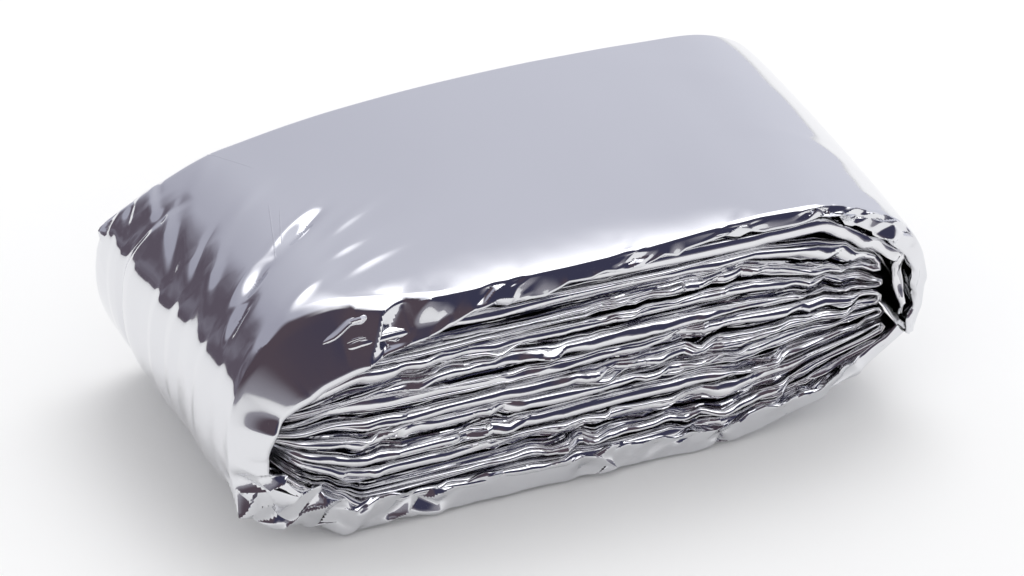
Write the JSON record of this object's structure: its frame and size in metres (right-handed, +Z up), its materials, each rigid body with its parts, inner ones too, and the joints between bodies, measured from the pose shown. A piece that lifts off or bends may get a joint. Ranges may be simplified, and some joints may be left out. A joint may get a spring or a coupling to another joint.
{
  "type": "folded emergency foil blanket",
  "caption": "Folded metallised film thermal blanket: a pleated strip folded leaf on leaf into a packet, with an outer turn that opens out and leaves that fan apart",
  "frame": {"origin": "centre of the underside of the folded packet, at the height of the surface it lies on", "axes": "+X along the packet towards the free end of the strip, +Y across the strip from its front pleats to its back pleats, +Z up out of the top leaf"},
  "size_m": [0.16, 0.078, 0.0562],
  "materials": {
    "foil": "mirror-bright vacuum-metallised polyester film, finely creased"
  },
  "bodies": {
    "bottom": {"bottom_leaf": "foil", "bottom_rise": "foil", "right_fold_1": "foil", "inner_leaf_01_left": "foil", "inner_leaf_01_middle": "foil", "inner_leaf_01_right": "foil", "left_fold_1": "foil"},
    "left_low": {"left_low_panel": "foil"},
    "left_end": {"left_end_panel": "foil"},
    "left_high": {"left_high_panel": "foil"},
    "top": {"top_leaf": "foil"},
    "flap_high": {"right_high_panel": "foil"},
    "flap_end": {"right_end_panel": "foil"},
    "leaf_pair_1": {"inner_leaf_02": "foil", "right_fold_2": "foil", "inner_leaf_03": "foil", "left_fold_2": "foil"},
    "leaf_pair_2": {"inner_leaf_04": "foil", "right_fold_3": "foil", "inner_leaf_05": "foil", "left_fold_3": "foil"},
    "leaf_pair_3": {"inner_leaf_06": "foil", "right_fold_4": "foil", "inner_leaf_07": "foil", "left_fold_4": "foil"},
    "leaf_pair_4": {"inner_leaf_08": "foil", "right_fold_5": "foil", "inner_leaf_09": "foil", "left_fold_5": "foil"},
    "leaf_pair_5": {"inner_leaf_10": "foil", "right_fold_6": "foil", "inner_leaf_11": "foil", "left_fold_6": "foil"},
    "last_leaf": {"inner_leaf_12": "foil"},
    "tail": {"tail_high_panel": "foil", "tail_end_panel": "foil"}
  },
  "joints": [
    {"name": "left_low_crease", "type": "hinge", "parent": "bottom", "child": "left_low", "pos_m": [-0.0544, 0, 0.0018], "axis": [0, -1, 0], "range_deg": [0, 36.87]},
    {"name": "left_end_crease", "type": "hinge", "parent": "left_low", "child": "left_end", "pos_m": [-0.07724, 0, 0.01893], "axis": [0, -1, 0], "range_deg": [0, 50.54]},
    {"name": "left_high_crease", "type": "hinge", "parent": "left_end", "child": "left_high", "pos_m": [-0.07816, 0, 0.0391], "axis": [0, -1, 0], "range_deg": [0, 57.37]},
    {"name": "top_crease", "type": "hinge", "parent": "left_high", "child": "top", "pos_m": [-0.05643, 0, 0.05445], "axis": [0, -1, 0], "range_deg": [0, 35.25]},
    {"name": "right_high_crease", "type": "hinge", "parent": "top", "child": "flap_high", "pos_m": [0.05695, 0, 0.05445], "axis": [0, -1, 0], "range_deg": [0, 33.69]},
    {"name": "right_end_crease", "type": "hinge", "parent": "flap_high", "child": "flap_end", "pos_m": [0.07677, 0, 0.04124], "axis": [0, -1, 0], "range_deg": [0, 52.23]},
    {"name": "left_crease_1", "type": "hinge", "parent": "bottom", "child": "leaf_pair_1", "pos_m": [-0.06955, 0, 0.0202], "axis": [0, -1, 0], "range_deg": [0, 14.01]},
    {"name": "left_crease_2", "type": "hinge", "parent": "leaf_pair_1", "child": "leaf_pair_2", "pos_m": [-0.07045, 0, 0.02414], "axis": [0, -1, 0], "range_deg": [0, 18.01]},
    {"name": "left_crease_3", "type": "hinge", "parent": "leaf_pair_2", "child": "leaf_pair_3", "pos_m": [-0.07135, 0, 0.02767], "axis": [0, -1, 0], "range_deg": [0, 22.01]},
    {"name": "left_crease_4", "type": "hinge", "parent": "leaf_pair_3", "child": "leaf_pair_4", "pos_m": [-0.07135, 0, 0.03083], "axis": [0, -1, 0], "range_deg": [0, 26.01]},
    {"name": "left_crease_5", "type": "hinge", "parent": "leaf_pair_4", "child": "leaf_pair_5", "pos_m": [-0.07045, 0, 0.03426], "axis": [0, -1, 0], "range_deg": [0, 30.01]},
    {"name": "left_crease_6", "type": "hinge", "parent": "leaf_pair_5", "child": "last_leaf", "pos_m": [-0.06955, 0, 0.03811], "axis": [0, -1, 0], "range_deg": [0, 34.01]},
    {"name": "tail_crease", "type": "hinge", "parent": "last_leaf", "child": "tail", "pos_m": [0.05366, 0, 0.0504], "axis": [0, -1, 0], "range_deg": [0, 33.7]}
  ],
  "couplings": [
    {"joint": "left_end_crease", "follows": "left_low_crease", "ratio": 1.3704},
    {"joint": "left_high_crease", "follows": "left_low_crease", "ratio": 1.5558},
    {"joint": "top_crease", "follows": "left_low_crease", "ratio": 0.95585},
    {"joint": "right_end_crease", "follows": "right_high_crease", "ratio": 1.5501},
    {"joint": "left_crease_1", "follows": "left_low_crease", "ratio": 0.37971},
    {"joint": "left_crease_2", "follows": "left_low_crease", "ratio": 0.4882},
    {"joint": "left_crease_3", "follows": "left_low_crease", "ratio": 0.59669},
    {"joint": "left_crease_4", "follows": "left_low_crease", "ratio": 0.70518},
    {"joint": "left_crease_5", "follows": "left_low_crease", "ratio": 0.81367},
    {"joint": "left_crease_6", "follows": "left_low_crease", "ratio": 0.92216},
    {"joint": "tail_crease", "follows": "right_high_crease", "ratio": 1}
  ]
}
